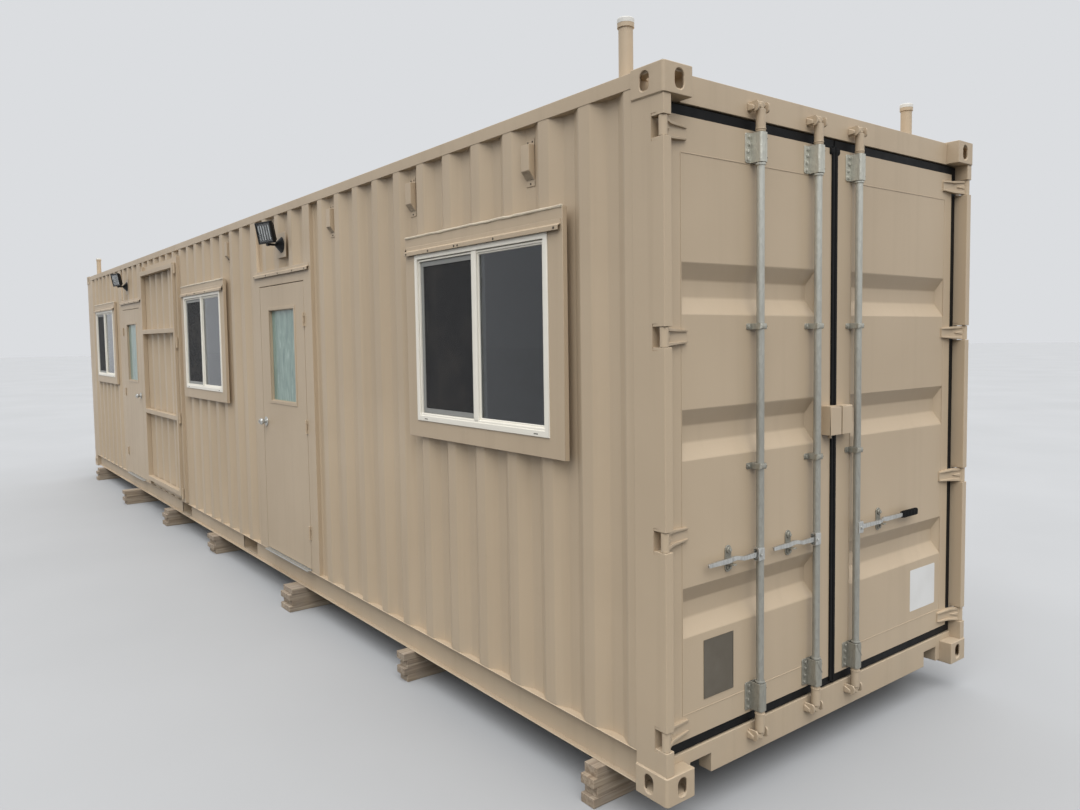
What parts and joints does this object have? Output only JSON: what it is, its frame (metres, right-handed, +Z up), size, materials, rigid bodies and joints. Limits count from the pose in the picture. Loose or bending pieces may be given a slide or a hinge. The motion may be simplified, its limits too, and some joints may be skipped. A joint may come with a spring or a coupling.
{
  "type": "shipping container cabin",
  "caption": "Shipping container made into a cabin: corrugated steel box with sliding windows, front doors, side gate, cargo doors with lock rods, roof vents and timber blocking.",
  "frame": {"origin": "ground level under the middle of the length and width", "axes": "+X towards the cargo doors, -Y towards the windows and front doors, +Z up"},
  "size_m": [12.192, 2.78, 3.3245],
  "materials": {
    "beige_paint": "satin",
    "galvanised": "satin",
    "plywood": "satin",
    "timber": "rough",
    "lining_board": "matte",
    "white_vinyl": "satin",
    "window_pane": "gloss",
    "black_rubber": "matte",
    "black_lamp": "satin",
    "bright_metal": "brushed"
  },
  "bodies": {
    "cabin": {"corner_castings_bottom": "beige_paint", "corner_castings_top": "beige_paint", "cargo_end_posts": "beige_paint", "far_end_frame": "beige_paint", "bottom_side_rails": "beige_paint", "top_side_rails": "beige_paint", "door_beams": "beige_paint", "cam_keepers": "beige_paint", "cross_members": "beige_paint", "fork_pockets": "beige_paint", "floor_deck": "plywood", "front_wall_skin": "beige_paint", "rear_wall_skin": "beige_paint", "far_end_skin": "beige_paint", "roof_skin": "beige_paint", "front_lining": "lining_board", "rear_lining": "lining_board", "ceiling_lining": "lining_board", "window_frames": "white_vinyl", "window_glass": "window_pane", "window_surrounds": "beige_paint", "gate_surround": "beige_paint", "floodlights": "black_lamp", "wall_vents": "beige_paint", "thresholds": "bright_metal", "door_frames": "beige_paint", "vent_pipes": "beige_paint", "blocking_boards_lower": "timber", "blocking_boards_upper": "timber"},
    "left_cargo_door": {"cargo_door_left": "beige_paint", "cargo_door_left_gasket": "black_rubber", "cargo_door_left_hardware": "galvanised"},
    "right_cargo_door": {"cargo_door_right": "beige_paint", "cargo_door_right_gasket": "black_rubber", "cargo_door_right_hardware": "galvanised"},
    "lock_rod_one": {"lock_rod_1": "galvanised"},
    "lock_rod_two": {"lock_rod_2": "galvanised"},
    "lock_rod_three": {"lock_rod_3": "galvanised"},
    "front_door_one": {"door_1_leaf": "beige_paint", "door_1_glass": "window_pane"},
    "front_door_two": {"door_2_leaf": "beige_paint", "door_2_glass": "window_pane"},
    "handle_one": {"door_1_handle": "bright_metal"},
    "handle_two": {"door_2_handle": "bright_metal"},
    "side_gate": {"gate_frame": "beige_paint", "gate_sheet": "beige_paint"}
  },
  "joints": [
    {"name": "left_cargo_door_swing", "type": "hinge", "parent": "cabin", "child": "left_cargo_door", "pos_m": [6.07, -1.195, 1.6], "axis": [0, 0, -1], "range_deg": [0, 255]},
    {"name": "right_cargo_door_swing", "type": "hinge", "parent": "cabin", "child": "right_cargo_door", "pos_m": [6.07, 1.195, 1.6], "axis": [0, 0, 1], "range_deg": [0, 260]},
    {"name": "lock_rod_one_turn", "type": "hinge", "parent": "left_cargo_door", "child": "lock_rod_one", "pos_m": [6.063, -0.599, 1.6], "axis": [0, 0, -1], "range_deg": [-100, 0]},
    {"name": "lock_rod_two_turn", "type": "hinge", "parent": "left_cargo_door", "child": "lock_rod_two", "pos_m": [6.063, -0.182, 1.6], "axis": [0, 0, -1], "range_deg": [-100, 0]},
    {"name": "lock_rod_three_turn", "type": "hinge", "parent": "right_cargo_door", "child": "lock_rod_three", "pos_m": [6.063, 0.15, 1.6], "axis": [0, 0, 1], "range_deg": [-100, 0]},
    {"name": "front_door_one_swing", "type": "hinge", "parent": "cabin", "child": "front_door_one", "pos_m": [2.5175, -1.2193, 1.4], "axis": [0, 0, 1], "range_deg": [0, 165]},
    {"name": "front_door_two_swing", "type": "hinge", "parent": "cabin", "child": "front_door_two", "pos_m": [-3.6245, -1.2193, 1.4], "axis": [0, 0, -1], "range_deg": [0, 165]},
    {"name": "handle_one_turn", "type": "hinge", "parent": "front_door_one", "child": "handle_one", "pos_m": [1.6715, -1.24, 1.3845], "axis": [0, 1, 0], "range_deg": [0, 45], "stiffness_Nm_per_rad": 1, "springref_deg": -34.38},
    {"name": "handle_two_turn", "type": "hinge", "parent": "front_door_two", "child": "handle_two", "pos_m": [-2.7785, -1.24, 1.3845], "axis": [0, -1, 0], "range_deg": [0, 45], "stiffness_Nm_per_rad": 1, "springref_deg": -34.38},
    {"name": "side_gate_swing", "type": "hinge", "parent": "cabin", "child": "side_gate", "pos_m": [-0.834, -1.2533, 1.6], "axis": [0, 0, 1], "range_deg": [0, 160]}
  ]
}
